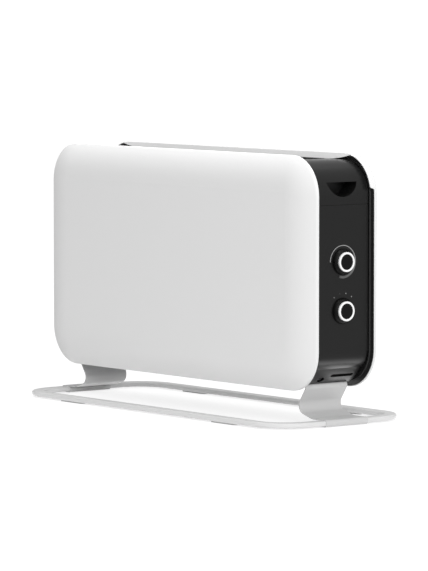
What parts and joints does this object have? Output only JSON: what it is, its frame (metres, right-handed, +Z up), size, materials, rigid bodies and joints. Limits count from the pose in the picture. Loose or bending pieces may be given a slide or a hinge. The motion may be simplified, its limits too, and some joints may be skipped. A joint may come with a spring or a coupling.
{
  "type": "convector heater",
  "caption": "Free-standing convector heater: two domed white covers over a dark finned-element body, turning controls on one end, finger pockets, and a flat ring foot on bent brackets.",
  "frame": {"origin": "on the floor, under the middle of the heater", "axes": "+Z up, front cover faces -Y, controls on the +X end"},
  "size_m": [0.7302, 0.286, 0.44],
  "materials": {
    "cover_paint": "satin white enamel",
    "foot_paint": "satin white enamel",
    "bracket_paint": "satin pale grey enamel",
    "housing_plastic": "fine textured black",
    "frame_paint": "satin black enamel",
    "galvanised_sheet": "zinc coated",
    "element_alloy": "extruded",
    "bushing_ceramic": "unglazed ceramic",
    "terminal_brass": "plain",
    "fastener_steel": "blackened",
    "pad_rubber": "matt pale grey",
    "knob_plastic": "satin black",
    "bezel_white": "bright white",
    "spindle_steel": "turned",
    "switch_plastic": "moulded",
    "gland_plastic": "moulded"
  },
  "bodies": {
    "heater": {"base_ring": "foot_paint", "bracket_screws": "fastener_steel", "cord_gland": "gland_plastic", "element_bushings": "bushing_ceramic", "element_support": "galvanised_sheet", "element_terminals": "terminal_brass", "foot_pads": "pad_rubber", "frame_rivets": "fastener_steel", "front_cover": "cover_paint", "front_cover_channels": "galvanised_sheet", "front_heating_element": "element_alloy", "front_inner_frame": "frame_paint", "housing_screws": "fastener_steel", "intake_grille": "frame_paint", "left_end_plate": "galvanised_sheet", "left_foot_bracket": "bracket_paint", "left_handle_housing": "housing_plastic", "left_side_housing": "housing_plastic", "outlet_grille": "frame_paint", "overheat_cutout": "switch_plastic", "rear_cover": "cover_paint", "rear_cover_channels": "galvanised_sheet", "rear_heating_element": "element_alloy", "rear_inner_frame": "frame_paint", "right_end_plate": "galvanised_sheet", "right_foot_bracket": "bracket_paint", "right_handle_housing": "housing_plastic", "right_side_housing": "housing_plastic", "selector_body": "switch_plastic", "terminal_block": "switch_plastic", "thermostat_body": "switch_plastic", "tilt_switch": "switch_plastic"},
    "thermostat_dial": {"thermostat_knob": "knob_plastic", "thermostat_bezel": "bezel_white", "thermostat_spindle": "spindle_steel"},
    "selector_dial": {"selector_knob": "knob_plastic", "selector_bezel": "bezel_white", "selector_spindle": "spindle_steel"}
  },
  "joints": [
    {"name": "thermostat_turn", "type": "hinge", "parent": "heater", "child": "thermostat_dial", "pos_m": [0.3525, 0, 0.2671], "axis": [-1, 0, 0], "range_deg": [0, 290]},
    {"name": "selector_turn", "type": "hinge", "parent": "heater", "child": "selector_dial", "pos_m": [0.3525, 0, 0.187], "axis": [-1, 0, 0], "range_deg": [0, 78]}
  ]
}
